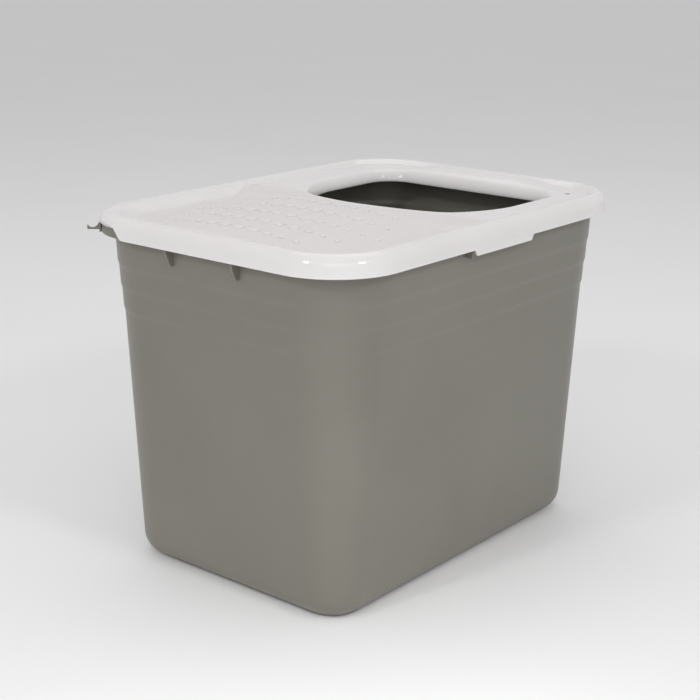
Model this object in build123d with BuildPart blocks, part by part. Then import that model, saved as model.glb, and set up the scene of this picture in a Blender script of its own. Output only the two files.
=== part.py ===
from build123d import *
import os
from math import radians, sqrt, tan

# Top entry litter box: a tapered moulded tub and the lid that drops over its rim.
# Millimetres. X runs along the length, Y across the width and Z up from the floor.
# The origin is the middle of the base. The entry hole is at the +X end, the platform at the -X end.

# Lid outline, measured at the bottom edge of the skirt.
lid_length = 508.0
lid_width = 372.2
lid_corner = 74.6
lid_wall = 2.5
skirt_depth = 21.6
skirt_draft = 9.5
ridge_roll = 9.0

# Fit of the lid over the rim of the tub.
rim_height = 378.9
seat_gap = 0.3
skirt_gap = 0.8

# Ridge and the floor inside it, given as distances in from the outline.
ridge_width = 14.0
flank_reach = 44.0
flank_depth = 9.1
valley_reach = 24.0
valley_depth = 5.4
flank_end = -65.0

# Crowned platform with its rows of bumps.
crown_rise = 1.2
crown_radius = 745.0
crown_half_width = 124.0
crown_end_gap = 16.0
crown_hole_gap = 26.0
crown_end_round = 3.0
bump_height = 1.2
bump_sink = 1.3
bump_foot = 0.6
bump_column_pitch = 38.0
bump_row_pitch = 18.56
bump_first_column = 52.2
large_bump = 11.5
middle_bump = 8.5
small_bump = 5.5
bump_slope = 55.0
bump_middle_row = 4.5
# Each column of bumps: its first row, its last row, and how far from the middle the larger ones reach.
bump_columns = ((0, 9, 2), (-1, 10, 3), (-2, 11, 3), (-1, 10, 3), (0, 9, 1))

# Entry hole: a half circle towards the platform, then two straight sides and a straight end.
hole_radius = 121.0
hole_centre = 97.8
hole_end = 197.0
hole_corner = 32.0
lip_draft = 2.0
lip_drop = 19.5

# Rolled funnel round the hole, in two slopes. It reaches least towards the platform.
funnel_foot_depth = 15.7
funnel_knee_depth = 5.2
funnel_knee_reach = 8.0
funnel_top_depth = -0.3
funnel_top_reach = 24.0
funnel_knee_nose = 2.0
funnel_top_nose = 3.0

# Two deeper tabs on the long sides of the skirt.
tab_length = 105.0
tab_depth = 6.0
tab_slope = 4.5
tab_round = 1.6

# Cut in the skirt that leaves the hook free, at the (-X, +Y) corner.
notch_height = 12.2
notch_slope = 45.0
notch_start = 5.6
notch_round = 5.0

# Small drain hole beside the collar.
drain_diameter = 5.0
drain_x = 199.0
drain_y = -134.5

# Tub wall. The top sizes are those of the plain wall, before its steps.
tub_top_gap = 15.5
tub_top_corner = 72.5
tub_base_length = 432.8
tub_base_width = 297.6
tub_base_corner = 40.3
tub_base_round = 25.0
tub_wall = 2.5
tub_floor = 4.0
tub_size_height = 360.0
step_heights = (279.0, 303.5, 328.0)
step_size = 1.1
base_recess = 1.5
base_recess_margin = 34.0

# Rim of the tub: a flat flange with a turned-down apron.
rim_wall = 2.5
rim_drop = 18.4
rim_round = 5.5

# Gusset ribs under the rim, a pair on each side.
rib_wall = 2.0
rib_set_back = 0.5
end_rib_spacing = 89.0
end_rib_drop = 16.0
end_rib_foot = 3.2
side_rib_spacing = 103.0
side_rib_drop = 10.5
side_rib_foot = 8.0

# Scoop hook on the rim, along the diagonal of the (-X, +Y) corner.
hook_reach = 14.4
hook_width = 10.0
hook_drop = 19.1
hook_tip = 6.4
hook_tip_length = 1.1
hook_saddle = 3.6
hook_saddle_reach = 8.6
hook_root = 9.0
hook_root_reach = 3.0
hook_round = 0.8
hook_plate_width = 18.0
hook_plate_wall = 2.0
hook_plate_overlap = 0.7

# Heights and clear sizes that follow from the values above.
crest = rim_height + seat_gap + lid_wall
skirt_bottom = crest - skirt_depth
half_length = lid_length / 2
half_width = lid_width / 2
lip_bottom = crest - lip_drop
flank_floor = crest - flank_depth
valley_floor = crest - valley_depth
funnel_foot = crest - funnel_foot_depth
funnel_knee = crest - funnel_knee_depth
funnel_top = crest - funnel_top_depth
platform_start = -half_length + crown_end_gap
platform_end = hole_end + crown_hole_gap


def outline(height, inset):
    """Rounded outline of the lid, drawn at a height and moved in by inset."""
    with BuildSketch(Plane.XY.offset(height)) as drawn:
        RectangleRounded(lid_length - 2 * inset, lid_width - 2 * inset, lid_corner - inset)
    return drawn.sketch


def hole_outline(height, grow, nose):
    """Outline of the entry hole at a height, moved out by grow, or by nose where it faces the platform."""
    radius = hole_radius + grow
    centre = hole_centre + grow - nose
    end = hole_end + grow
    corner = hole_corner + grow
    with BuildSketch(Plane.XY.offset(height)) as drawn:
        with BuildLine():
            Line((centre, -radius), (end - corner, -radius))
            RadiusArc((end - corner, -radius), (end, corner - radius), -corner)
            Line((end, corner - radius), (end, radius - corner))
            RadiusArc((end, radius - corner), (end - corner, radius), -corner)
            Line((end - corner, radius), (centre, radius))
            ThreePointArc((centre, radius), (centre - radius, 0), (centre, -radius))
        make_face()
    return drawn.sketch


def between(lower, upper):
    """Solid between two outlines of one kind at two heights."""
    with BuildPart() as made:
        loft([lower, upper])
    return made.part


def crown(inset):
    """The arched platform, which runs past the hole to its far end, moved in and down by inset."""
    top = crest + crown_rise - inset
    side = top - crown_radius + sqrt(crown_radius**2 - crown_half_width**2)
    foot = flank_floor - inset - lid_wall
    with BuildPart() as made:
        with BuildSketch(Plane.YZ.offset(platform_start + inset)):
            with BuildLine():
                ThreePointArc((-crown_half_width, side), (0, top), (crown_half_width, side))
                Polyline(
                    (crown_half_width, side),
                    (crown_half_width, foot),
                    (-crown_half_width, foot),
                    (-crown_half_width, side),
                )
            make_face()
        extrude(amount=platform_end - platform_start - 2 * inset)
        arcs = made.edges().filter_by(GeomType.CIRCLE).sort_by(Axis.X)
        fillet((arcs[0], arcs[-1]), crown_end_round)
    return made.part


def pocket(reach, floor, drop):
    """The hollow inside the ridge, its wall falling from the ridge to a floor."""
    over = 2 * lid_wall
    slope = (reach - ridge_width) / (crest - floor)
    lower = outline(floor - drop, reach)
    upper = outline(crest - drop + over, ridge_width - over * slope)
    return between(lower, upper)


def funnel(inset):
    """The two slopes of the funnel as cutting blocks, moved out and down by inset."""
    over = lid_wall + crest - funnel_top
    rise = (funnel_top + over - funnel_knee) / (funnel_top - funnel_knee)
    foot_outline = hole_outline(funnel_foot - inset, inset / 2, inset / 2)
    knee_outline = hole_outline(
        funnel_knee - inset,
        funnel_knee_reach + inset / 2,
        funnel_knee_nose + inset / 2,
    )
    top_outline = hole_outline(
        funnel_top + over - inset,
        funnel_knee_reach + rise * (funnel_top_reach - funnel_knee_reach) + inset / 2,
        funnel_knee_nose + rise * (funnel_top_nose - funnel_knee_nose) + inset / 2,
    )
    return between(foot_outline, knee_outline), between(knee_outline, top_outline)


def top_form(inset, arched):
    """The lid as a full block with its arched platform, moved in and down by inset."""
    foot = skirt_bottom - 2 * inset
    narrowing = tan(radians(skirt_draft)) * 2 * inset
    with BuildPart() as flank_side:
        with BuildSketch(Plane.XY.offset(skirt_bottom)):
            with Locations((flank_end - half_length, 0)):
                Rectangle(lid_length, lid_width)
        extrude(amount=2 * skirt_depth)
    flank_pocket = pocket(flank_reach, flank_floor, inset) & flank_side.part
    valley_pocket = pocket(valley_reach, valley_floor, inset) - flank_side.part
    with BuildPart() as made:
        with BuildSketch(Plane.XY.offset(foot)):
            RectangleRounded(
                lid_length - 2 * inset + 2 * narrowing,
                lid_width - 2 * inset + 2 * narrowing,
                lid_corner - inset + narrowing,
            )
        extrude(amount=crest - inset - foot, taper=skirt_draft)
        fillet(made.faces().sort_by(Axis.Z)[-1].edges(), ridge_roll - inset)
        add(flank_pocket, mode=Mode.SUBTRACT)
        add(valley_pocket, mode=Mode.SUBTRACT)
        add(arched)
        add(funnel(inset), mode=Mode.SUBTRACT)
    return made.part


# The platform carries low bumps in rows, larger towards the middle of each column.
with BuildPart() as platform:
    add(crown(0))
    for column, (first, last, large) in enumerate(bump_columns):
        for row in range(first, last + 1):
            across = bump_middle_row - row
            x = -half_length + bump_first_column + column * bump_column_pitch
            y = across * bump_row_pitch
            surface = crest + crown_rise - crown_radius + sqrt(crown_radius**2 - y**2)
            wide = small_bump
            if abs(across) < large + 1:
                wide = middle_bump
            if abs(across) < large:
                wide = large_bump
            with BuildSketch(Plane.XY.offset(surface - bump_sink)):
                with Locations((x, y)):
                    Circle(wide / 2)
            extrude(amount=bump_sink + bump_foot)
            with BuildSketch(Plane.XY.offset(surface + bump_foot)):
                with Locations((x, y)):
                    Circle(wide / 2)
            extrude(amount=bump_height - bump_foot, taper=bump_slope)

lid_outside = top_form(0, platform.part)
lid_inside = top_form(lid_wall, crown(lid_wall))

# The hole's wall: a ring that hangs from the funnel, trimmed to the lid's shape.
full_rise = funnel_top + lid_wall - lip_bottom
lip_spread = tan(radians(lip_draft)) * full_rise
hole_cut = between(
    hole_outline(lip_bottom, 0, 0),
    hole_outline(lip_bottom + full_rise, lip_spread, lip_spread),
)
lip_block = between(
    hole_outline(lip_bottom, lid_wall, lid_wall),
    hole_outline(lip_bottom + full_rise, lip_spread + lid_wall, lip_spread + lid_wall),
)
lip = lip_block & lid_outside

corner_x = -half_length + lid_corner
corner_y = half_width - lid_corner


def notch_bar(plane, start):
    """Bar over all that lies beyond a start. Its sloping side rounds over into its flat top."""
    top = skirt_bottom + notch_height
    end = start + 2 * lid_corner
    with BuildPart() as made:
        with BuildSketch(plane) as profile:
            with BuildLine():
                Polyline(
                    (start, skirt_bottom),
                    (start + notch_height * tan(radians(notch_slope)), top),
                    (end, top),
                    (end, skirt_bottom),
                    close=True,
                )
            make_face()
            fillet(profile.vertices().group_by(Axis.Y)[-1].sort_by(Axis.X)[0], notch_round)
        extrude(amount=lid_length, both=True)
    return made.part


# The cut for the hook is where a bar along each side crosses a ring round the skirt.
notch_width_bar = notch_bar(Plane.YZ, corner_y - notch_start)
notch_length_bar = notch_bar(
    Plane(origin=(0, 0, 0), x_dir=(-1, 0, 0), z_dir=(0, 1, 0)), -corner_x - notch_start
)
with BuildPart() as skirt_ring:
    with BuildSketch(Plane.XY.offset(skirt_bottom - tab_depth)):
        RectangleRounded(lid_length + lid_corner, lid_width + lid_corner, lid_corner)
        RectangleRounded(
            lid_length - 2 * (ridge_width - skirt_gap),
            lid_width - 2 * (ridge_width - skirt_gap),
            lid_corner - ridge_width,
            mode=Mode.SUBTRACT,
        )
    extrude(amount=tab_depth + notch_height)
notch = notch_width_bar & notch_length_bar & skirt_ring.part

with BuildPart() as lid:
    add(lid_outside)
    add(lid_inside, mode=Mode.SUBTRACT)
    add(lip)
    add(hole_cut, mode=Mode.SUBTRACT)
    # The two tabs that carry the skirt deeper under the middle of each long side.
    for side in (-1, 1):
        with BuildSketch(Plane.XZ.offset(-side * half_width)) as tab:
            with BuildLine():
                Polyline(
                    (-tab_length / 2, skirt_bottom + lid_wall),
                    (-tab_length / 2, skirt_bottom),
                    (-tab_length / 2 + tab_slope, skirt_bottom - tab_depth),
                    (tab_length / 2 - tab_slope, skirt_bottom - tab_depth),
                    (tab_length / 2, skirt_bottom),
                    (tab_length / 2, skirt_bottom + lid_wall),
                    close=True,
                )
            make_face()
            fillet(tab.vertices().group_by(Axis.Y)[0], tab_round)
        extrude(amount=side * lid_wall)
    add(notch, mode=Mode.SUBTRACT)
    # The small drain hole in the valley beside the collar.
    with BuildSketch(Plane.XY.offset(lip_bottom)):
        with Locations((drain_x, drain_y)):
            Circle(drain_diameter / 2)
    extrude(amount=2 * lip_drop, mode=Mode.SUBTRACT)

# The plain wall of the tub grows evenly from its base to its top size.
tub_top_length = lid_length - 2 * tub_top_gap
tub_top_width = lid_width - 2 * tub_top_gap


def tub_outline(height, grow):
    """Outline of the tub's plain wall at a height, moved out by grow."""
    share = height / tub_size_height
    length = tub_base_length + share * (tub_top_length - tub_base_length) + 2 * grow
    width = tub_base_width + share * (tub_top_width - tub_base_width) + 2 * grow
    corner = tub_base_corner + share * (tub_top_corner - tub_base_corner) + grow
    with BuildSketch(Plane.XY.offset(height)) as drawn:
        RectangleRounded(length, width, corner)
    return drawn.sketch


# The rim follows the inside of the lid's skirt with a gap.
# The top edge of the wall stays under the lid's ridge.
rim_inset = lid_wall + skirt_gap
rim_bottom = rim_height - rim_drop
wall_top_inset = ridge_width - tub_wall - skirt_gap


def tub_form(inset, floor, top):
    """The tub as a full block: its stepped wall, the flare up to the rim and the round edge of its base."""
    edges = (floor, *step_heights, rim_bottom)
    with BuildPart() as made:
        for step, (low, high) in enumerate(zip(edges, edges[1:])):
            grow = step * step_size - inset
            loft([tub_outline(low, grow), tub_outline(high, grow)])
        loft([tub_outline(rim_bottom, grow), outline(top, wall_top_inset + inset)])
        fillet(made.faces().sort_by(Axis.Z)[0].edges(), tub_base_round - inset)
    return made.part


def rim_form(inset, drop):
    """The rim as a full block, drafted and with a round shoulder, moved in by inset and down by drop."""
    lean = tan(radians(skirt_draft)) * (skirt_bottom - rim_bottom + inset)
    foot = rim_bottom - inset
    with BuildPart() as made:
        with BuildSketch(Plane.XY.offset(foot)):
            RectangleRounded(
                lid_length - 2 * (rim_inset + inset) + 2 * lean,
                lid_width - 2 * (rim_inset + inset) + 2 * lean,
                lid_corner - rim_inset - inset + lean,
            )
        extrude(amount=rim_height - drop - foot, taper=skirt_draft)
        fillet(made.faces().sort_by(Axis.Z)[-1].edges(), rim_round - inset)
    return made.part


def wall_place(base_size, top_size, height):
    """Distance from the middle to the outside of the wall above its steps, at a height."""
    plain = base_size + (top_size - base_size) * height / tub_size_height
    return plain / 2 + len(step_heights) * step_size


def rib(plane, base_size, top_size, lid_size, drop, foot):
    """One gusset rib between the wall and the apron, drawn on its own middle plane."""
    low = rim_bottom - drop
    high = rim_height - rim_wall / 2
    shoulder = rim_height - rim_round
    lean = tan(radians(skirt_draft))
    apron = lid_size / 2 - rim_inset - rib_set_back
    wall_top = lid_size / 2 - wall_top_inset
    with BuildPart() as made:
        with BuildSketch(plane):
            with BuildLine():
                Polyline(
                    (wall_top - tub_wall / 2, high),
                    (wall_place(base_size, top_size, rim_bottom) - tub_wall / 2, rim_bottom),
                    (wall_place(base_size, top_size, low) - tub_wall / 2, low),
                    (wall_place(base_size, top_size, low) + foot, low),
                    (apron, rim_bottom),
                    (apron - lean * (shoulder - rim_bottom), shoulder),
                    (wall_top, high),
                    close=True,
                )
            make_face()
        extrude(amount=rib_wall / 2, both=True)
    return made.part


tub_outside = tub_form(0, 0, rim_height)
tub_inside = tub_form(tub_wall, tub_floor, rim_height + tub_wall)
rim_outside = rim_form(0, 0)
rim_inside = rim_form(rim_wall, rim_wall)


# A pair of ribs on each side. Each plane stands through the middle with its own X axis pointing outwards.
ribs = []
for way in (-1, 1):
    end_plane = Plane(origin=(0, 0, 0), x_dir=(way, 0, 0), z_dir=(0, -way, 0))
    side_plane = Plane(origin=(0, 0, 0), x_dir=(0, way, 0), z_dir=(way, 0, 0))
    for place in (-1, 1):
        ribs.append(
            rib(
                end_plane.offset(place * end_rib_spacing / 2),
                tub_base_length,
                tub_top_length,
                lid_length,
                end_rib_drop,
                end_rib_foot,
            )
        )
        ribs.append(
            rib(
                side_plane.offset(place * side_rib_spacing / 2),
                tub_base_width,
                tub_top_width,
                lid_width,
                side_rib_drop,
                side_rib_foot,
            )
        )

# The hook's plane stands on the centre of the rim's corner and looks along the corner's diagonal.
hook_plane = Plane(origin=(corner_x, corner_y, 0), x_dir=(-1, 1, 0), z_dir=(1, 1, 0))
apron_radius = lid_corner - rim_inset
hook_bottom = rim_height - hook_drop
hook_foot = apron_radius - rim_wall / 2
with BuildPart() as hook:
    with BuildSketch(hook_plane):
        with BuildLine():
            Polyline(
                (hook_foot, hook_bottom + hook_root),
                (hook_foot, hook_bottom),
                (apron_radius + hook_reach, hook_bottom),
                (apron_radius + hook_reach, hook_bottom + hook_tip),
                (apron_radius + hook_reach - hook_tip_length, hook_bottom + hook_tip),
            )
            ThreePointArc(
                (apron_radius + hook_reach - hook_tip_length, hook_bottom + hook_tip),
                (apron_radius + hook_saddle_reach, hook_bottom + hook_saddle),
                (apron_radius + hook_root_reach, hook_bottom + hook_root),
            )
            Line(
                (apron_radius + hook_root_reach, hook_bottom + hook_root),
                (hook_foot, hook_bottom + hook_root),
            )
        make_face()
    extrude(amount=hook_width / 2, both=True)
    fillet(hook.faces().sort_by(Axis((0, 0, 0), (-1, 1, 0)))[-1].edges(), hook_round / 2)
with BuildPart() as hook_plate:
    with BuildSketch(hook_plane):
        with Locations((hook_foot, hook_bottom - hook_plate_overlap)):
            Rectangle(
                rim_wall / 2 + hook_plate_wall,
                hook_root + hook_plate_overlap,
                align=(Align.MIN, Align.MIN),
            )
    extrude(amount=hook_plate_width / 2, both=True)

with BuildPart() as tub:
    add(rim_outside)
    add(rim_inside, mode=Mode.SUBTRACT)
    add(tub_outside)
    add(ribs)
    add(hook_plate.part)
    add(hook.part)
    add(tub_inside, mode=Mode.SUBTRACT)
    # The base is dished a little, so that the box stands on a ring near its edge.
    with BuildSketch(Plane.XY):
        RectangleRounded(
            tub_base_length - 2 * base_recess_margin,
            tub_base_width - 2 * base_recess_margin,
            tub_base_corner - tub_base_round,
        )
    extrude(amount=base_recess, mode=Mode.SUBTRACT)

os.makedirs("parts", exist_ok=True)
lid.part.label = "lid"
export_step(lid.part, "parts/lid.step")
tub.part.label = "tub"
export_step(tub.part, "parts/tub.step")
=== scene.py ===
import bpy
import numpy as np
from mathutils import Matrix, Vector


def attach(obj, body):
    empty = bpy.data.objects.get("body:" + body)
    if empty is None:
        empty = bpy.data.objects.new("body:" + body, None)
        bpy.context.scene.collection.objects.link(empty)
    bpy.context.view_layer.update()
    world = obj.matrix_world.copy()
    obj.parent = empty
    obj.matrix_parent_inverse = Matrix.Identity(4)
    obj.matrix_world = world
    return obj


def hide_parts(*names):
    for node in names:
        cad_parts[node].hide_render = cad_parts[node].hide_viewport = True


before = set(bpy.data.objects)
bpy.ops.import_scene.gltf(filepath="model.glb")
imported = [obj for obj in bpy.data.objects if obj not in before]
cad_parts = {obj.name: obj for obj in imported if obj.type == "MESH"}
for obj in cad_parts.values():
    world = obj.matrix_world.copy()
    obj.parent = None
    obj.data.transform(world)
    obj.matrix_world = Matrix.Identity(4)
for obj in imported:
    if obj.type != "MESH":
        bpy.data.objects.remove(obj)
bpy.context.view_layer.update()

# A top entry litter box: a tall tapered tub, and a lid that drops over its rim.
# Shapes are worked out in millimetres, with X along the box, Y across it and Z up from the floor.


# ---------------------------------------------------------------------------------------------
# Tub: one deep injection moulding in warm grey plastic, with three small steps near the top so
# that tubs nest, a dished base and a rim folded over into an apron that hangs round the outside.
# ---------------------------------------------------------------------------------------------
tub_base = np.array([216.4, 148.8, 40.3])  # half length, half width and corner radius at the floor
tub_growth = np.array([22.1, 21.8, 32.2])  # what each gains by the height of the plain wall
tub_plain_height = 360.0
tub_step_heights = (279.0, 303.5, 328.0)
tub_step = 1.1
tub_step_rise = 7.5
tub_skin = 2.5
tub_floor_top = 4.0
tub_foot_radius = 25.0
tub_wall_angle = np.radians(86.5)
tub_steps_round = (26, 18, 26, 24) * 2  # round one corner, along an end, round one, along a side
dish_edge = np.array([182.4, 114.8, 15.3])  # half length, half width and corner radius of the dish
dish_depth = 1.5
dish_slope = 3.0
lid_outline = np.array([254.0, 186.1, 74.6])  # the lid's half length, half width, corner radius
skirt_foot = 360.1  # height of the lower edge of the lid's skirt, which the apron hangs inside
rim_foot = 360.5
rim_top = 378.9
rim_inset = 10.7
rim_flange = 2.5
rim_fold = 5.4
wall_at_flange = 11.2
apron_low = 361.6
apron_high = 373.4
apron_inset = 3.3
apron_draft = 0.1673


def smooth_rise(share):
    """Runs from 0 to 1 in an S: three times the square of the share less twice its cube."""
    share = np.clip(share, 0.0, 1.0)
    return share * share * (3.0 - 2.0 * share)


def plain_wall(height, out=0.0):
    """The wall's half length, half width and corner radius at each height. Each grows evenly with
    height, every step adds its size over a short S, and out moves the whole outwards."""
    height = np.atleast_1d(np.asarray(height, float))
    steps = sum(
        tub_step * smooth_rise((height - step) / tub_step_rise + 0.5) for step in tub_step_heights
    )
    sizes = tub_base + (height / tub_plain_height)[:, None] * tub_growth + steps[:, None] + out
    return np.column_stack([sizes, height])


def flared_wall(height, out=0.0):
    """The wall above the apron's foot, running evenly from the plain wall to the flange's edge."""
    height = np.atleast_1d(np.asarray(height, float))
    share = ((height - rim_foot) / (rim_top - rim_foot))[:, None]
    foot = plain_wall(rim_foot, out)[:, :3]
    head = lid_outline - rim_inset + out
    return np.column_stack([foot + share * (head - foot), height])


def rim_ring(inset, height):
    """Rings that follow the lid's outline, moved in by inset, at the given heights."""
    inset, height = np.broadcast_arrays(np.asarray(inset, float), np.asarray(height, float))
    return np.column_stack([lid_outline - inset[:, None], height])


def base_round(radius, bottom, out):
    """Round edge at the foot of the wall: a circle's arc that starts flat and ends on the wall."""
    turn = np.linspace(0.0, tub_wall_angle, 14)
    height = bottom + radius * (1.0 - np.cos(turn))
    join = plain_wall(height[-1:], out)[0, :3]
    back = radius * (np.sin(turn[-1]) - np.sin(turn))
    return np.column_stack([join - back[:, None], height])


def bend(start_inset, start_height, end_inset, end_height, turn=1, steps=6):
    """Quarter of an ellipse between two points of the rim's section, as insets and heights. It
    leaves the first point upright for turn 1 and level for turn -1."""
    angle = np.linspace(0.0, np.pi / 2, steps)
    fast, slow = np.sin(angle), 1.0 - np.cos(angle)
    across, up = (slow, fast) if turn > 0 else (fast, slow)
    return rim_ring(
        start_inset + (end_inset - start_inset) * across,
        start_height + (end_height - start_height) * up,
    )


def apron_out(height):
    """How far in from the lid's outline the apron's outer face is: it leans in by its draft."""
    return apron_inset + apron_draft * (height - skirt_foot)


def tub_section():
    """The tub's whole section, from the middle of its underside up the outside, round the rim and
    down the inside to the middle of its floor. A row holds two half sizes, a radius, a height."""
    dish = np.linspace(0.0, 1.0, 7)[:, None]
    dished = np.column_stack(
        [dish_edge + dish_slope * (dish - 0.5), dish_depth * (1 - smooth_rise(dish))]
    )
    dished_middle = np.column_stack([dish_edge * np.array([[0.5], [0.97]]), [dish_depth] * 2])
    outer_base = base_round(tub_foot_radius, 0.0, 0.0)
    inner_base = base_round(tub_foot_radius - tub_skin, tub_floor_top, -tub_skin)
    step_rows = np.concatenate([step + np.linspace(-4.2, 4.2, 9) for step in tub_step_heights])
    between = np.array([26, 40, 60, 85, 110, 135, 160, 185, 210, 235, 255, 270, 291, 316, 340, 352])
    wall_rows = np.sort(np.concatenate([step_rows, between, [359.6]]))
    under = rim_top - rim_flange
    behind_top = apron_out(under) + rim_flange
    apron_foot = apron_out(apron_low)
    behind_rows = np.linspace(374.0, 362.2, 5)
    front_rows = np.linspace(362.4, 373.2, 7)
    fold_start = apron_out(apron_high)
    floor_end = inner_base[0, :3]
    return np.concatenate(
        [
            dished_middle,
            dished,
            outer_base,
            plain_wall(wall_rows),
            flared_wall(np.linspace(rim_foot, under - 0.9, 7)),
            bend(wall_at_flange - 0.25, under - 0.5, wall_at_flange - 0.75, under, 1, 4)[1:],
            bend(behind_top + 0.7, under, behind_top, under - 0.7, -1, 5),
            rim_ring(apron_out(behind_rows) + rim_flange, behind_rows),
            bend(apron_foot + rim_flange, apron_low, apron_foot + 1.4, rim_foot, 1, 5),
            bend(apron_foot + 1.1, rim_foot, apron_foot, apron_low, -1, 5),
            rim_ring(apron_out(front_rows), front_rows),
            bend(fold_start, apron_high, fold_start + rim_fold, rim_top, 1, 10),
            rim_ring([wall_at_flange, wall_at_flange + 1.0], [rim_top, rim_top]),
            bend(wall_at_flange + 1.2, rim_top, wall_at_flange + 2.0, rim_top - 0.8, -1, 5),
            flared_wall(np.linspace(rim_top - 1.4, rim_foot, 8), -tub_skin),
            plain_wall(wall_rows[::-1], -tub_skin),
            inner_base[::-1],
            np.append(floor_end * 0.96, tub_floor_top)[None, :],
            np.append(floor_end * 0.5, tub_floor_top)[None, :],
        ]
    )


def walk_round(stations, steps):
    """Walks a rounded outline anticlockwise. Between one station and the next the corner's centre,
    the outward angle and the radius all change evenly. Gives centres, directions and radii."""
    here = np.array(stations, float)
    ahead = np.roll(here, -1, axis=0)
    ahead[-1, 2] += 360.0
    legs = [
        a + (b - a) * (np.arange(count) / count)[:, None]
        for a, b, count in zip(here, ahead, steps)
    ]
    walk = np.concatenate(legs)
    angle = np.radians(walk[:, 2])
    return walk[:, :2], np.column_stack([np.cos(angle), np.sin(angle)]), walk[:, 3]


def unit_corners(radius=1.0):
    """Stations of a square with corners at plus and minus one, for shapes with four alike."""
    places = ((1, -1, -90), (1, -1, 0), (1, 1, 0), (1, 1, 90))
    opposite = ((-1, 1, 90), (-1, 1, 180), (-1, -1, 180), (-1, -1, 270))
    return [(x, y, angle, radius) for x, y, angle in places + opposite]


def carry_section(section, steps):
    """Carries a section round its rounded rectangles: each point is its corner's centre moved out
    by the corner radius. Gives a grid of points, one row for each row of the section."""
    corner, direction, _ = walk_round(unit_corners(), steps)
    radius = section[:, 2]
    centre = section[:, None, :2] - radius[:, None, None]
    flat = corner[None] * centre + direction[None] * radius[:, None, None]
    height = np.broadcast_to(section[:, None, 3:], flat.shape[:2] + (1,))
    return np.concatenate([flat, height], axis=2)


def mould_skin(name, grids, ring=False):
    """Joins grids of points, in millimetres, into one closed skin. A grid's columns run round
    anticlockwise. Its first and last rows meet in a ring, or each is closed to its own middle."""
    points, quads, fans, start = [], [], [], 0
    for grid in grids:
        rows, columns = grid.shape[:2]
        number = start + np.arange(rows * columns).reshape(rows, columns)
        beside = np.roll(number, -1, axis=1)
        above = np.roll(number, -1, axis=0)
        above_beside = np.roll(above, -1, axis=1)
        quad = np.stack([number, beside, above_beside, above], axis=-1)
        quads.append((quad if ring else quad[:-1]).reshape(-1, 4))
        points.append(grid.reshape(-1, 3))
        start += rows * columns
        if not ring:
            points.append(np.stack([grid[0].mean(0), grid[-1].mean(0)]))
            first = np.stack([beside[0], number[0], np.full(columns, start)], axis=-1)
            last = np.stack([number[-1], beside[-1], np.full(columns, start + 1)], axis=-1)
            fans += [first, last]
            start += 2
    mesh = bpy.data.meshes.new(name)
    faces = np.concatenate(quads).tolist() + (np.concatenate(fans).tolist() if fans else [])
    mesh.from_pydata((np.concatenate(points) * 0.001).tolist(), [], faces)
    mesh.validate()
    mesh.shade_smooth()
    piece = bpy.data.objects.new(name, mesh)
    bpy.context.scene.collection.objects.link(piece)
    return piece


def two_colours(nodes, low, low_colour, high, high_colour):
    """A colour ramp that runs from one colour at low to another at high."""
    ramp = nodes.new("ShaderNodeValToRGB")
    start, end = ramp.color_ramp.elements
    start.position, start.color = low, (*low_colour, 1)
    end.position, end.color = high, (*high_colour, 1)
    return ramp


def moulded_grain():
    """The skin that a spark-eroded steel mould leaves on plastic: a fine even grain, slow clouds
    where the plastic flowed, and a few hair-fine rubs. All three are numbers from 0 to 1."""
    group = bpy.data.node_groups.new("moulded grain", "ShaderNodeTree")
    face = group.interface
    for label, value in (("Grain Size", 1500.0), ("Cloud Size", 7.0), ("Rub Size", 60.0)):
        face.new_socket(label, in_out="INPUT", socket_type="NodeSocketFloat").default_value = value
    for label in ("Grain", "Cloud", "Rub"):
        face.new_socket(label, in_out="OUTPUT", socket_type="NodeSocketFloat")
    nodes, link = group.nodes, group.links.new
    given, result = nodes.new("NodeGroupInput"), nodes.new("NodeGroupOutput")
    place = nodes.new("ShaderNodeTexCoord").outputs["Object"]

    pits = nodes.new("ShaderNodeTexVoronoi")
    pits.inputs["Randomness"].default_value = 1.0
    speck = nodes.new("ShaderNodeTexNoise")
    speck.inputs["Detail"].default_value = 3.0
    grain = nodes.new("ShaderNodeMath")
    grain.operation = "MULTIPLY_ADD"
    grain.inputs[1].default_value = 0.55
    for texture in (pits, speck):
        link(place, texture.inputs["Vector"])
        link(given.outputs["Grain Size"], texture.inputs["Scale"])
    link(pits.outputs["Distance"], grain.inputs[0])
    link(speck.outputs[0], grain.inputs[2])
    link(grain.outputs[0], result.inputs["Grain"])

    cloud = nodes.new("ShaderNodeTexNoise")
    cloud.inputs["Detail"].default_value = 4.0
    cloud.inputs["Roughness"].default_value = 0.55
    cloud.inputs["Distortion"].default_value = 0.6
    link(place, cloud.inputs["Vector"])
    link(given.outputs["Cloud Size"], cloud.inputs["Scale"])
    link(cloud.outputs[0], result.inputs["Cloud"])

    turned = nodes.new("ShaderNodeMapping")
    turned.inputs["Rotation"].default_value = (0.5, 0.35, 0.8)
    turned.inputs["Scale"].default_value = (1.0, 22.0, 9.0)
    hair = nodes.new("ShaderNodeTexNoise")
    hair.inputs["Detail"].default_value = 5.0
    hair.inputs["Roughness"].default_value = 0.7
    rub = nodes.new("ShaderNodeMapRange")
    rub.inputs["From Min"].default_value = 0.62
    rub.inputs["From Max"].default_value = 0.78
    link(place, turned.inputs["Vector"])
    link(turned.outputs[0], hair.inputs["Vector"])
    link(given.outputs["Rub Size"], hair.inputs["Scale"])
    link(hair.outputs[0], rub.inputs["Value"])
    link(rub.outputs[0], result.inputs["Rub"])
    return group


grain_group = moulded_grain()


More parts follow.
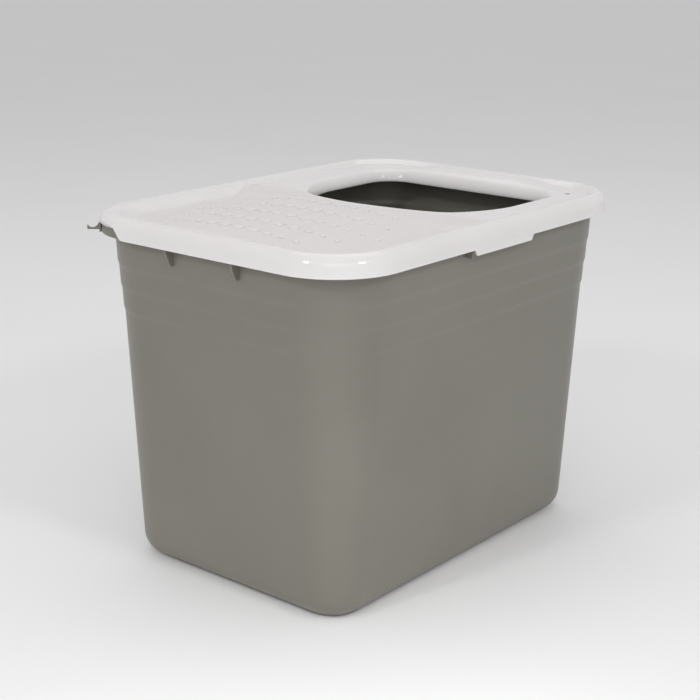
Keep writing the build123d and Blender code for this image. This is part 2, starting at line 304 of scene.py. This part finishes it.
def grey_tub_plastic():
    """Warm grey polypropylene, half glossy. Its colour drifts a little with the flow of the melt,
    fine rubs dull it here and there, and the fine grain breaks up its shine."""
    material = bpy.data.materials.new("grey tub plastic")
    material.use_nodes = True
    nodes, link = material.node_tree.nodes, material.node_tree.links.new
    shader = nodes["Principled BSDF"]
    shader.inputs["IOR"].default_value = 1.49
    skin = nodes.new("ShaderNodeGroup")
    skin.node_tree = grain_group
    skin.inputs["Grain Size"].default_value = 1700.0
    skin.inputs["Cloud Size"].default_value = 6.0
    skin.inputs["Rub Size"].default_value = 26.0

    colour = two_colours(nodes, 0.3, (0.176, 0.166, 0.140), 0.72, (0.198, 0.188, 0.160))
    link(skin.outputs["Cloud"], colour.inputs[0])
    rubbed = nodes.new("ShaderNodeMix")
    rubbed.data_type = "RGBA"
    rubbed.inputs["B"].default_value = (0.25, 0.24, 0.215, 1)
    faint = nodes.new("ShaderNodeMath")
    faint.operation = "MULTIPLY"
    faint.inputs[1].default_value = 0.22
    link(skin.outputs["Rub"], faint.inputs[0])
    link(faint.outputs[0], rubbed.inputs["Factor"])
    link(colour.outputs[0], rubbed.inputs["A"])
    link(rubbed.outputs["Result"], shader.inputs["Base Color"])

    shine = nodes.new("ShaderNodeMapRange")
    shine.inputs["From Min"].default_value = 0.25
    shine.inputs["From Max"].default_value = 0.75
    shine.inputs["To Min"].default_value = 0.34
    shine.inputs["To Max"].default_value = 0.42
    link(skin.outputs["Cloud"], shine.inputs["Value"])
    dulled = nodes.new("ShaderNodeMath")
    dulled.operation = "MULTIPLY_ADD"
    dulled.inputs[1].default_value = 0.12
    link(skin.outputs["Rub"], dulled.inputs[0])
    link(shine.outputs[0], dulled.inputs[2])
    link(dulled.outputs[0], shader.inputs["Roughness"])

    relief = nodes.new("ShaderNodeBump")
    relief.inputs["Strength"].default_value = 0.25
    relief.inputs["Distance"].default_value = 0.00008
    link(skin.outputs["Grain"], relief.inputs["Height"])
    link(relief.outputs[0], shader.inputs["Normal"])
    return material


tub_plastic = grey_tub_plastic()
tub = mould_skin("tub_shell", [carry_section(tub_section(), tub_steps_round)])
tub.data.materials.append(tub_plastic)
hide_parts("tub")
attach(tub, "tub")


# ---------------------------------------------------------------------------------------------
# Gusset ribs: eight thin webs moulded with the tub, two on each side, that hold the apron off
# the wall. Each is wide at the apron's foot and curves in to a narrow end below it.
# ---------------------------------------------------------------------------------------------
rib_half_thickness = 1.15
rib_edge = 0.35
rib_sink = 0.9  # how deep a web's inner edge is sunk in the wall
rib_top = 376.8
rib_bow = 0.75
end_rib_shift = 44.5
side_rib_shift = 50.6


def rounded_bar(half_across, half_up, rounding, steps):
    """Rounded rectangles about zero, a row for each pair of half sizes. Every point is its corner's
    place moved out by the rounding, given as how far across and how far up it is."""
    corner, direction, _ = walk_round(unit_corners(), steps)
    across = corner[:, 0] * (half_across - rounding)[:, None] + rounding * direction[:, 0]
    up = corner[:, 1] * (half_up - rounding)[:, None] + rounding * direction[:, 1]
    return across, up


def rib_web(axis, low, foot, behind_skirt):
    """One web as rounded rectangles stacked from its low end up into the rim. The inner edge keeps
    to the wall, and the outer edge bows out from the foot to the apron, by the share of the height
    raised to a power, then stays inside the apron. Axis 0 is an end wall, axis 1 a side wall."""
    span = rim_foot - 1.0 - low
    even = span * np.array([0.2, 0.4, 0.6, 0.8, 1.0])
    lift = np.concatenate([[0.0, 0.1, 0.35, 0.8], even, [span + 1.3, rib_top - low]])
    height = low + lift
    start = plain_wall([low])[0, axis] + foot
    end = lid_outline[axis] - behind_skirt
    outer = start + (end - start) * np.clip(lift / span, 0, 1) ** rib_bow
    inside_apron = lid_outline[axis] - 5.0 - 0.26 * (height - rim_foot)
    outer = np.where(height > rim_foot + 0.1, inside_apron, outer)
    inner = plain_wall(height)[:, axis] - rib_sink
    shrink = np.array([0.3, 0.16, 0.05, 0.0] + [0.0] * 7)
    half_depth = (outer - inner) / 2 - shrink
    half_thick = rib_half_thickness - shrink
    out, side = rounded_bar(half_depth, half_thick, rib_edge, (3, 2, 3, 6) * 2)
    out = out + ((outer + inner) / 2)[:, None]
    return np.stack([out, side, np.broadcast_to(height[:, None], out.shape)], axis=-1)


def set_on_side(grid, quarter, shift):
    """Slides a web along its wall and turns it by quarters of a circle onto its own side."""
    turn = np.pi / 2 * quarter
    x, y, z = grid[..., 0], grid[..., 1] + shift, grid[..., 2]
    cos, sin = np.cos(turn), np.sin(turn)
    return np.stack([x * cos - y * sin, x * sin + y * cos, z], axis=-1)


end_web = rib_web(0, 342.5, 4.2, 1.6)
side_web = rib_web(1, 351.0, 7.6, 3.4)
end_ribs = [set_on_side(end_web, q, shift * end_rib_shift) for q in (0, 2) for shift in (-1, 1)]
side_ribs = [set_on_side(side_web, q, shift * side_rib_shift) for q in (1, 3) for shift in (-1, 1)]
ribs = mould_skin("tub_ribs", end_ribs + side_ribs)
ribs.data.materials.append(tub_plastic)
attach(ribs, "tub")


# ---------------------------------------------------------------------------------------------
# Scoop hook: a short arm with a hollow top and a raised tip, moulded on a pad at the rim's
# corner. It points out along the corner's diagonal through the cut in the lid's skirt.
# ---------------------------------------------------------------------------------------------
hook_centre = np.array([-1.0, 1.0]) * (lid_outline[:2] - lid_outline[2])  # the corner's own centre
hook_out = np.array([-1.0, 1.0]) / np.sqrt(2.0)
hook_side = np.array([-1.0, -1.0]) / np.sqrt(2.0)
hook_under = 361.5
hook_half_width = 2.1
hook_rounding = 0.7
saddle_reach = 80.4
saddle_bottom = 363.2
arm_top = 368.6
tip_top = 366.1
pad_reach = 71.85
pad_middle = 364.3
pad_half_thickness = 1.35
pad_half_height = 4.7
pad_half_angle = np.radians(7.2)
pad_rounding = 0.5


def hook_arm():
    """Rounded rectangles carried outwards along the corner's diagonal. Their underside stays level.
    Their top falls into the saddle on one circle and climbs to the tip on a tighter one, and the
    last few shrink to round the tip off."""
    tip_rows = [84.8, 85.05, 85.25, 85.35, 85.4]
    reach = np.concatenate([[69.6], np.linspace(72.5, 84.2, 20), tip_rows])
    circle = np.where(reach > saddle_reach, 4.6, 7.0)
    sunk = np.sqrt(np.clip(circle**2 - (reach - saddle_reach) ** 2, 0.0, None))
    top = np.minimum(saddle_bottom + circle - sunk, arm_top)
    top = np.where(reach > 84.3, tip_top, top)
    shrink = np.concatenate([np.zeros(21), [0.0, 0.12, 0.32, 0.55, 0.8]])
    half_height = (top - hook_under) / 2 - shrink
    side, up = rounded_bar(hook_half_width - shrink, half_height, hook_rounding, (6, 4, 6, 6) * 2)
    up = up + ((top + hook_under) / 2)[:, None]
    flat = hook_centre + reach[:, None, None] * hook_out + side[..., None] * hook_side
    return np.concatenate([flat, up[..., None]], axis=-1)


def hook_pad():
    """A small upright rounded rectangle carried round the rim's corner, its ends drawn in by the
    fifth power of the share of the way to them."""
    turn = np.linspace(-1.0, 1.0, 17)
    shrink = 0.8 * np.abs(turn) ** 5
    angle = np.radians(135.0) - turn * pad_half_angle
    out, up = rounded_bar(
        pad_half_thickness - shrink, pad_half_height - shrink, pad_rounding, (5, 4, 5, 6) * 2
    )
    direction = np.stack([np.cos(angle), np.sin(angle)], -1)[:, None, :]
    flat = hook_centre + (out + pad_reach)[..., None] * direction
    return np.concatenate([flat, (up + pad_middle)[..., None]], axis=-1)


hook = mould_skin("scoop_hook", [hook_arm(), hook_pad()])
hook.data.materials.append(tub_plastic)
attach(hook, "tub")


# ---------------------------------------------------------------------------------------------
# Lid: one glossy off-white moulding. A rounded ridge runs round it above a leaning skirt, an
# arched platform fills it from end to end, and the entry hole is rolled in like a funnel.
# ---------------------------------------------------------------------------------------------
lid_skin = 2.5
lid_columns = 448
skirt_edge_round = 0.9
roll_height = 369.2
roll_inset = 14.2
roll_radius = 12.5
roll_lean = 9.5
roll_end = 86.0
ridge_crest = 381.7
slope_start = 13.0
valley_reach = 44.0
valley_less_at_hole = 19.0
valley_floor = 372.6
valley_rise_at_hole = 3.7
valley_end = 20.0
valley_slant = 1.45
valley_fade = 24.0
crown_top = 382.9
crown_arch = 0.000671
crown_start = -238.0
crown_end = 237.0
crown_fall = 0.15
crown_blend = 0.8
hole_middle = 97.8
hole_radius = 121.0
hole_end = 197.0
hole_corner = 32.0
funnel_width = 32.0
funnel_less_at_platform = 28.5
funnel_less_at_end = 8.0
funnel_blend = 1.2
lip_foot = 363.25
lip_rise = 18.75
tab_half_length = 52.5
tab_slope = 4.5
tab_slope_middle = 50.3
tab_drop = 6.0
cut_height = 12.4
cut_start = 6.2
cut_run = 10.2
drain_place = (198.0, -135.3)
drain_radius = 3.3
drain_step = 2.0
drain_skin = 0.9
polished_band = 7.0
# Where the textured area, which also carries the platform's painted shade, ends towards the hole,
# and how far it fades.
matt_and_shade_end = 2.0
matt_and_shade_fade = 22.0


def soft_ramp(share, ease=0.3):
    """Runs from 0 to 1 in a straight line whose two ends ease in and out like parabolas."""
    share = np.clip(share, 0.0, 1.0)
    pace = 1.0 / (1.0 - ease)
    start = pace * share**2 / (2.0 * ease)
    middle = pace * (share - ease / 2.0)
    end = 1.0 - pace * (1.0 - share) ** 2 / (2.0 * ease)
    return np.where(share < ease, start, np.where(share > 1.0 - ease, end, middle))


def soft_upper(one, other, blend):
    """The upper of two surfaces, rounded where they cross."""
    return 0.5 * (one + other + np.sqrt((one - other) ** 2 + blend**2))


def soft_lower(one, other, blend):
    """The lower of two surfaces, rounded where they cross."""
    return 0.5 * (one + other - np.sqrt((one - other) ** 2 + blend**2))


def inside_outline(x, y):
    """Distance in from the lid's rounded outline."""
    length, width, radius = lid_outline
    across = np.abs(x) - (length - radius)
    along = np.abs(y) - (width - radius)
    corner = np.hypot(np.maximum(across, 0.0), np.maximum(along, 0.0))
    return radius - corner - np.minimum(np.maximum(across, along), 0.0)


def beyond_hole(x, y):
    """Distance out from the entry hole's outline, and how far its edge there faces the far end:
    -1 towards the platform, 0 at the long sides and 1 at the far end."""
    over = x - hole_middle
    round_part = np.hypot(over, y)
    across = x - (hole_end - hole_corner)
    along = np.abs(y) - (hole_radius - hole_corner)
    corner = np.hypot(np.maximum(across, 0.0), np.maximum(along, 0.0))
    square_part = corner + np.minimum(np.maximum(across, along), 0.0) - hole_corner
    lean = np.maximum(across, 0.0) / np.maximum(corner, 1e-6)
    near = over < 0.0
    return (
        np.where(near, round_part - hole_radius, square_part),
        np.where(near, over / np.maximum(round_part, 1e-6), lean),
    )


def funnel_reach(lean):
    """Width of the funnel: most at the long sides, a little less at the far end, and down to a few
    millimetres at the platform."""
    less = np.where(lean < 0.0, -funnel_less_at_platform * lean, funnel_less_at_end * lean)
    return funnel_width - less


def crown_height(x, y):
    """The arched platform: it drops by the square of the distance from the middle line, and its
    two ends fall off by the square of the distance past them."""
    arch = crown_top - crown_arch * y**2
    start = np.maximum(crown_start - x, 0.0)
    end = np.maximum(x - crown_end, 0.0)
    return arch - crown_fall * start**2 - crown_fall * end**2


def past_platform(x, y):
    """0 beside the platform and 1 beside the hole. The change runs slantwise from the ridge's foot,
    earlier further in, and is short."""
    slant = valley_end - valley_slant * np.minimum(inside_outline(x, y), valley_reach + 2.0)
    return smooth_rise((x - slant) / valley_fade + 0.5)


def slope_reach(x, y):
    """Where the ridge's inner slope ends, in from the outline."""
    return valley_reach - valley_less_at_hole * past_platform(x, y)


def slope_height(x, y):
    """The inner slope of the ridge and the floor at its foot. The slope is long and its floor deep
    beside the platform, short and shallow beside the hole."""
    floor = valley_floor + valley_rise_at_hole * past_platform(x, y)
    share = (inside_outline(x, y) - slope_start) / (slope_reach(x, y) - slope_start)
    return ridge_crest - (ridge_crest - floor) * soft_ramp(share)


def deck_height(x, y):
    """The lid's top between ridge and hole: the upper of the ridge's slope and the platform."""
    return soft_upper(slope_height(x, y), crown_height(x, y), crown_blend) - 0.1


def funnel_height(out, reach):
    """The funnel: a quarter of an ellipse that stands upright at the hole and lies flat at its own
    reach, then rises very gently."""
    share = np.clip((reach - out) / reach, 0.0, 1.0)
    return lip_foot + lip_rise * np.sqrt(1.0 - share**2) + 0.05 * np.maximum(out - reach, 0.0)


def top_height(x, y):
    """The lid's top: the lower of deck and funnel."""
    out, lean = beyond_hole(x, y)
    return soft_lower(deck_height(x, y), funnel_height(out, funnel_reach(lean)), funnel_blend)


def past_cut(x, y):
    """How far a point has gone round into the corner whose skirt is cut for the hook: the less of
    its two distances past the corner's centre."""
    length, width, radius = lid_outline
    return np.minimum(y - (width - radius), -x - (length - radius))


def lid_columns_round():
    """Where the lid's columns stand: on straight lines from a point in the hole, so shared out that
    the outer outline and the hole's both get even steps, and closer at the tabs and at the cut for
    the hook. Gives points and outward directions on both outlines."""
    length, width, radius = lid_outline
    outer_stations = [
        (x * (length - radius), y * (width - radius), angle, r)
        for x, y, angle, r in unit_corners(radius)
    ]
    inner = hole_radius - hole_corner
    far = hole_end - hole_corner
    hole_stations = [
        (far, -inner, -90, hole_corner),
        (far, -inner, 0, hole_corner),
        (far, inner, 0, hole_corner),
        (far, inner, 90, hole_corner),
        (hole_middle, 0, 90, hole_radius),
        (hole_middle, 0, 270, hole_radius),
    ]
    look_out = 90.0  # where on the middle line the straight lines start
    sight = np.linspace(0.0, 2 * np.pi, 24001)
    found = []
    for stations in (outer_stations, hole_stations):
        centre, direction, radii = walk_round(stations, [3000] * len(stations))
        edge = centre + direction * radii[:, None]
        angle = np.arctan2(edge[:, 1], edge[:, 0] - look_out) % (2 * np.pi)
        order = np.argsort(angle)
        seen = [
            np.interp(sight, angle[order], values[order], period=2 * np.pi)
            for values in (*edge.T, *direction.T)
        ]
        found.append(np.stack(seen, -1))
    steps = [np.hypot(*np.diff(outline[:, :2], axis=0).T) for outline in found]
    share = sum(step / step.sum() for step in steps)
    x, y = found[0][1:, 0], found[0][1:, 1]
    past_slope = (np.abs(x) - tab_slope_middle) / tab_slope
    at_tab = np.exp(-(past_slope**2)) * (np.abs(y) > width - 1.0)
    at_cut = np.exp(-(((past_cut(x, y) - 3.0) / 9.0) ** 2))
    share = share * (1.0 + 4.0 * at_tab + 1.5 * at_cut)
    walked = np.concatenate([[0.0], np.cumsum(share)])
    stops = np.interp(np.arange(lid_columns) / lid_columns * walked[-1], walked, sight)
    chosen = [
        np.stack([np.interp(stops, sight, values) for values in outline.T], -1)
        for outline in found
    ]
    for part in chosen:
        part[:, 2:] /= np.hypot(part[:, 2], part[:, 3])[:, None]
    return chosen


def skirt_edge(x, y):
    """Height of the skirt's lower edge: level, deeper at the tab in the middle of each long side,
    and raised in a smooth bell-shaped rise round the corner that lets the hook out."""
    on_long_side = np.abs(y) > lid_outline[1] - 1.0
    tab = tab_drop * soft_ramp((tab_half_length - np.abs(x)) / tab_slope) * on_long_side
    along_cut = np.maximum(past_cut(x, y) + cut_start, 0.0)
    cut = cut_height * (1.0 - np.exp(-((along_cut / cut_run) ** 2)))
    return skirt_foot - tab + cut


def lid_grid():
    """The lid's closed section carried round: up the skirt, over the ridge, across the deck, down
    the funnel, round the lip, and back underneath at the thickness of the skin."""
    outer, hole = lid_columns_round()
    edge = skirt_edge(outer[:, 0], outer[:, 1])
    reach = funnel_reach(hole[:, 2])

    def at_ridge(inset, height):
        flat = outer[None, :, :2] - inset[..., None] * outer[None, :, 2:]
        return np.concatenate([flat, np.broadcast_to(height, inset.shape)[..., None]], -1)

    def on_top(flat):
        return np.concatenate([flat, top_height(flat[..., 0], flat[..., 1])[..., None]], -1)

    def leaning(height):
        return apron_draft * np.maximum(height - skirt_foot, 0.0)

    roll_start = roll_height + roll_radius * np.sin(np.radians(roll_lean))
    rise = np.array([0.0, 0.03, 0.08, 0.16, 0.28, 0.42, 0.56, 0.7, 0.83, 0.93])[:, None]
    low = edge + skirt_edge_round
    skirt_rows = low + (roll_start - low) * rise
    skirt = at_ridge(leaning(skirt_rows), skirt_rows)
    turn = np.radians(np.linspace(roll_lean, roll_end, 13))[:, None]
    ones = np.ones((1, lid_columns))
    roll = at_ridge(
        (roll_inset - roll_radius * np.cos(turn)) * ones,
        (roll_height + roll_radius * np.sin(turn)) * ones,
    )
    slope_inset = np.array(
        [13.8, 14.4, 15.0, 15.7, 16.5, 17.3, 18.2, 19.1, 20.1, 21.1, 22.2, 23.5, 25.0]
    )
    ridge_flat = outer[None, :, :2] - slope_inset[:, None, None] * outer[None, :, 2:]
    funnel_flat = hole[:, :2] + reach[:, None] * hole[:, 2:]
    share = (np.arange(1, 64) / 64.0)[:, None, None]
    deck_flat = ridge_flat[-1] + (funnel_flat - ridge_flat[-1]) * share
    fall = np.radians(np.linspace(90.0, 0.0, 22))[:, None]
    out = reach * (1.0 - np.cos(fall))
    mouth_flat = hole[None, :, :2] + out[..., None] * hole[None, :, 2:]
    mouth_deck = deck_height(mouth_flat[..., 0], mouth_flat[..., 1])
    mouth_height = soft_lower(mouth_deck, funnel_height(out, reach), funnel_blend)
    mouth = np.concatenate([mouth_flat, mouth_height[..., None]], -1)
    top = np.concatenate([skirt, roll, on_top(ridge_flat), on_top(deck_flat), mouth])

    half = lid_skin / 2
    round_lip = np.radians(np.linspace(0.0, 180.0, 9))[1:, None]
    lip_out = (half - half * np.cos(round_lip)) * ones
    lip_height = (lip_foot - half * np.sin(round_lip)) * ones
    lip_flat = hole[None, :, :2] + lip_out[..., None] * hole[None, :, 2:]
    lip = np.concatenate([lip_flat, lip_height[..., None]], -1)

    along = np.gradient(top, axis=0)
    around = (np.roll(top, -1, axis=1) - np.roll(top, 1, axis=1)) / 2
    normal = np.cross(around, along)
    normal /= np.linalg.norm(normal, axis=-1, keepdims=True)
    first_roll, last = len(skirt), len(top)
    under_mouth = np.arange(last - 3, last - 22, -2)
    under_deck = np.arange(last - 24, first_roll + 26, -2)
    under_ridge = np.arange(first_roll + 25, first_roll, -2)
    kept = np.concatenate([under_mouth, under_deck, under_ridge])
    under = (top - lid_skin * normal)[kept]
    inner_rows = skirt_rows[::-2]
    skirt_inside = at_ridge(leaning(inner_rows) + lid_skin, inner_rows)
    round_edge = np.radians(np.linspace(0.0, 90.0, 5))[:, None]
    drop, back = skirt_edge_round * np.sin(round_edge), skirt_edge_round * np.cos(round_edge)
    edge_in = at_ridge(leaning(low) + lid_skin - skirt_edge_round + back, low - drop)
    edge_out = at_ridge(leaning(low) + skirt_edge_round - drop, low - back)
    return np.concatenate([top, lip, under, skirt_inside, edge_in[1:], edge_out[:-1]])


def bore_drain(piece, x, y, radius):
    """Bores the small drain hole: a round cutter, wider below a thin upper skin, is taken out of
    the lid and the cut is kept."""
    turn = np.linspace(0.0, 2 * np.pi, 32, endpoint=False)
    top = float(top_height(x, y))
    across = np.array([radius + drain_step, radius + drain_step, radius, radius])[:, None]
    height = top + np.array([-7.0, -drain_skin, 0.01 - drain_skin, 7.0])[:, None]
    ring = (x + across * np.cos(turn), y + across * np.sin(turn), height + 0.0 * turn)
    cutter = mould_skin("drain_cutter", [np.stack(ring, -1)])
    cut = piece.modifiers.new("drain", "BOOLEAN")
    cut.operation = "DIFFERENCE"
    cut.solver = "EXACT"
    cut.object = cutter
    finished = piece.evaluated_get(bpy.context.evaluated_depsgraph_get())
    bored = bpy.data.meshes.new_from_object(finished)
    piece.modifiers.clear()
    piece.data = bored
    bpy.data.objects.remove(cutter)


def white_lid_plastic():
    """Off-white polypropylene, through which a little light spreads, with a polished skin. Where
    the vertex value matt_and_shade is 1, on the platform, the skin is finely textured and dull,
    for grip, and its colour is darker: painted shade for the upward-facing platform."""
    material = bpy.data.materials.new("white lid plastic")
    material.use_nodes = True
    nodes, link = material.node_tree.nodes, material.node_tree.links.new
    shader = nodes["Principled BSDF"]
    shader.inputs["IOR"].default_value = 1.49
    shader.inputs["Subsurface Weight"].default_value = 0.5
    shader.inputs["Subsurface Radius"].default_value = (1.0, 0.92, 0.86)
    shader.inputs["Subsurface Scale"].default_value = 0.005
    skin = nodes.new("ShaderNodeGroup")
    skin.node_tree = grain_group
    skin.inputs["Grain Size"].default_value = 1100.0
    skin.inputs["Cloud Size"].default_value = 9.0
    skin.inputs["Rub Size"].default_value = 34.0
    matt_and_shade = nodes.new("ShaderNodeAttribute")
    matt_and_shade.attribute_name = "matt_and_shade"

    colour = two_colours(nodes, 0.3, (0.750, 0.722, 0.717), 0.7, (0.780, 0.754, 0.750))
    link(skin.outputs["Cloud"], colour.inputs[0])
    # Darker colour where matt_and_shade is 1: painted shade for the upward-facing platform, laid
    # over its real dull finish.
    painted_platform_shade = nodes.new("ShaderNodeMix")
    painted_platform_shade.data_type = "RGBA"
    painted_platform_shade.inputs["B"].default_value = (0.705, 0.673, 0.665, 1)
    link(matt_and_shade.outputs["Fac"], painted_platform_shade.inputs["Factor"])
    link(colour.outputs[0], painted_platform_shade.inputs["A"])
    link(painted_platform_shade.outputs["Result"], shader.inputs["Base Color"])

    rubbed = nodes.new("ShaderNodeMapRange")
    rubbed.inputs["To Min"].default_value = 0.13
    rubbed.inputs["To Max"].default_value = 0.24
    link(skin.outputs["Rub"], rubbed.inputs["Value"])
    dull = nodes.new("ShaderNodeMix")
    dull.inputs["B"].default_value = 0.55
    link(matt_and_shade.outputs["Fac"], dull.inputs["Factor"])
    link(rubbed.outputs[0], dull.inputs["A"])
    link(dull.outputs[0], shader.inputs["Roughness"])

    depth = nodes.new("ShaderNodeMapRange")
    depth.inputs["To Min"].default_value = 0.06
    depth.inputs["To Max"].default_value = 1.0
    link(matt_and_shade.outputs["Fac"], depth.inputs["Value"])
    texture = nodes.new("ShaderNodeMath")
    texture.operation = "MULTIPLY"
    link(skin.outputs["Grain"], texture.inputs[0])
    link(depth.outputs[0], texture.inputs[1])
    relief = nodes.new("ShaderNodeBump")
    relief.inputs["Strength"].default_value = 0.5
    relief.inputs["Distance"].default_value = 0.00012
    link(texture.outputs[0], relief.inputs["Height"])
    link(relief.outputs[0], shader.inputs["Normal"])
    return material


def mark_matt_and_shade(piece):
    """Gives the lid its textured area: where the platform stands above the ridge's slope or the
    slope has ended, up to a polished band round the hole and only on the upper face. Each limit
    fades over a few millimetres. The same value also darkens the colour there, as painted shade
    for the upward-facing platform."""
    place = np.empty(len(piece.data.vertices) * 3, np.float32)
    piece.data.vertices.foreach_get("co", place)
    x, y, z = place.reshape(-1, 3).astype(float).T * 1000.0
    out, _ = beyond_hole(x, y)
    on_crown = smooth_rise((crown_height(x, y) - slope_height(x, y) + 1.0) / 2.0)
    past_slope = smooth_rise((inside_outline(x, y) - slope_reach(x, y)) / 9.0 + 1.0)
    clear_of_hole = smooth_rise((out - polished_band) / 5.0)
    upper = (z > top_height(x, y) - 1.0) & (inside_outline(x, y) > 12.0)
    beside_platform = 1.0 - smooth_rise((x - matt_and_shade_end) / matt_and_shade_fade)
    matt_and_shade = np.maximum(on_crown, past_slope) * beside_platform * clear_of_hole * upper
    values = piece.data.attributes.new("matt_and_shade", "FLOAT", "POINT").data
    values.foreach_set("value", matt_and_shade.astype(np.float32))


lid_plastic = white_lid_plastic()
lid = mould_skin("lid_shell", [lid_grid()], ring=True)
bore_drain(lid, *drain_place, drain_radius)
mark_matt_and_shade(lid)
lid.data.materials.clear()
lid.data.materials.append(lid_plastic)
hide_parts("lid")
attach(lid, "lid")


# ---------------------------------------------------------------------------------------------
# Platform bumps: fifty-eight low round studs moulded on the platform in five columns, wide near
# the middle line and small towards the sides, for grip and to knock litter from paws.
# ---------------------------------------------------------------------------------------------
# Each column's first row, its last row, and how far from the middle line the large bumps reach.
bump_columns = ((0, 9, 2), (-1, 10, 3), (-2, 11, 3), (-1, 10, 3), (0, 9, 1))
bump_first_column = -201.8
bump_column_pitch = 38.0
bump_row_pitch = 18.56
bump_middle_row = 4.5
large_bump, middle_bump, small_bump = 5.75, 4.25, 2.75
bump_height = 1.3
# How much of the platform's dull finish the bumps take, and with it how much of its painted shade.
bump_matt_and_shade = 0.72


def bump_places():
    """Centres and radii of the bumps, column by column, each column centred on the middle line."""
    places = []
    for column, (first, last, large) in enumerate(bump_columns):
        across = bump_middle_row - np.arange(first, last + 1)
        outer = np.where(np.abs(across) < large + 1, middle_bump, small_bump)
        radius = np.where(np.abs(across) < large, large_bump, outer)
        x = np.full(len(across), bump_first_column + bump_column_pitch * column)
        places.append(np.column_stack([x, across * bump_row_pitch, radius]))
    return np.concatenate(places)


def bump_stud(x, y, radius):
    """A low stud in eight rings that follow the platform. Its foot starts just under the surface,
    and its side rises steeply and rounds over into a nearly flat top."""
    share = np.array([1.04, 1.02, 1.0, 0.975, 0.93, 0.84, 0.62, 0.3])[:, None]
    rise = np.array([-0.35, 0.0, 0.25, 0.6, 0.82, 0.94, 0.99, 1.0])[:, None] * bump_height
    turn = np.linspace(0.0, 2 * np.pi, 24, endpoint=False)
    px = x + share * radius * np.cos(turn)
    py = y + share * radius * np.sin(turn)
    return np.stack([px, py, top_height(px, py) + rise], -1)


bumps = mould_skin("platform_bumps", [bump_stud(*place) for place in bump_places()])
bump_values = bumps.data.attributes.new("matt_and_shade", "FLOAT", "POINT").data
bump_values.foreach_set("value", np.full(len(bumps.data.vertices), bump_matt_and_shade, np.float32))
bumps.data.materials.append(lid_plastic)
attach(bumps, "lid")


# ---------------------------------------------------------------------------------------------
# Studio: a plain pale floor and a bright even surrounding, with a broad light overhead, a softbox
# off each near side and in front, a low lamp for the floor, and two small lamps whose reflections
# are the spots on the lid's near corner. The camera stands where the photograph was taken.
# ---------------------------------------------------------------------------------------------
floor_gap = 0.2
floor_thickness = 20.0


def pale_floor():
    """A wide flat disc: rings whose radii grow by a steady factor, closed in the middle."""
    turn = np.linspace(0.0, 2 * np.pi, 96, endpoint=False)
    radius = (30.0 * 1.35 ** np.arange(24))[::-1, None]
    flat = np.stack([radius * np.cos(turn), radius * np.sin(turn)], -1)
    top = np.concatenate([flat, np.full(flat.shape[:2] + (1,), -floor_gap)], -1)
    under = top[::-1] - np.array([0.0, 0.0, floor_thickness])
    floor = mould_skin("floor", [np.concatenate([under, top])])
    material = bpy.data.materials.new("pale studio floor")
    material.use_nodes = True
    nodes, link = material.node_tree.nodes, material.node_tree.links.new
    shader = nodes["Principled BSDF"]
    shader.inputs["Roughness"].default_value = 0.75
    cloud = nodes.new("ShaderNodeTexNoise")
    cloud.inputs["Scale"].default_value = 3.0
    colour = two_colours(nodes, 0.0, (0.88, 0.88, 0.885), 1.0, (0.91, 0.91, 0.915))
    link(nodes.new("ShaderNodeTexCoord").outputs["Object"], cloud.inputs["Vector"])
    link(cloud.outputs[0], colour.inputs[0])
    link(colour.outputs[0], shader.inputs["Base Color"])
    floor.data.materials.append(material)
    return floor


pale_floor()

world = bpy.data.worlds.new("studio")
bpy.context.scene.world = world
world.use_nodes = True
sky = world.node_tree.nodes
upward = sky.new("ShaderNodeSeparateXYZ")
tent = two_colours(sky, 0.1, (0.90, 0.895, 0.90), 0.9, (0.70, 0.695, 0.70))
join = world.node_tree.links.new
join(sky.new("ShaderNodeTexCoord").outputs["Generated"], upward.inputs[0])
join(upward.outputs["Z"], tent.inputs[0])
join(tent.outputs[0], sky["Background"].inputs["Color"])
sky["Background"].inputs["Strength"].default_value = 0.79


def softbox(name, place, aim, size, power, spread=180.0):
    """An area light that hangs at a place, faces a point and spreads over an angle in degrees."""
    lamp = bpy.data.lights.new(name, "AREA")
    lamp.shape = "RECTANGLE"
    lamp.size, lamp.size_y = size
    lamp.energy = power
    lamp.spread = np.radians(spread)
    light = bpy.data.objects.new(name, lamp)
    light.location = place
    light.rotation_euler = (Vector(aim) - Vector(place)).to_track_quat("-Z", "Y").to_euler()
    bpy.context.scene.collection.objects.link(light)


corner_spot = (-0.23, -0.16, 0.37)
softbox("overhead", (0.6, 0.5, 2.3), (0.0, 0.0, 0.3), (1.7, 1.5), 8.0)
softbox("end softbox", (-2.6, 1.1, 1.5), (-0.1, 0.0, 0.2), (1.6, 1.2), 1.3)
softbox("side softbox", (0.7, -2.7, 1.5), (0.0, -0.1, 0.2), (1.6, 1.2), 1.2)
softbox("front softbox", (-1.7, -1.4, 1.2), (0.1, 0.08, 0.3), (1.5, 1.1), 6.0)
softbox("floor lamp", (-1.0, -0.85, 0.8), (-0.5, -0.42, 0.0), (0.5, 0.5), 0.55, 42.0)
softbox("end lamp", (-2.31, 0.13, 1.9), corner_spot, (0.3, 0.3), 11.0)
softbox("side lamp", (-0.30, -2.26, 1.9), corner_spot, (0.3, 0.3), 11.0)

bpy.context.scene.view_settings.view_transform = "Standard"
focal_length_pixels = 1465.896
picture_width_pixels = 700.0
lens = bpy.data.cameras.new("camera")
lens.sensor_width = 36.0
lens.lens = focal_length_pixels / picture_width_pixels * lens.sensor_width
camera = bpy.data.objects.new("camera", lens)
right = Vector((0.63724, -0.77063, 0.00767))
up = Vector((0.21478, 0.18715, 0.95856))
forward = Vector((0.74013, 0.60919, -0.28477))
axes = Matrix((right, up, -forward)).transposed().to_4x4()
camera.matrix_world = Matrix.Translation((-1.215766, -0.984475, 0.675272)) @ axes
bpy.context.scene.collection.objects.link(camera)
bpy.context.scene.camera = camera
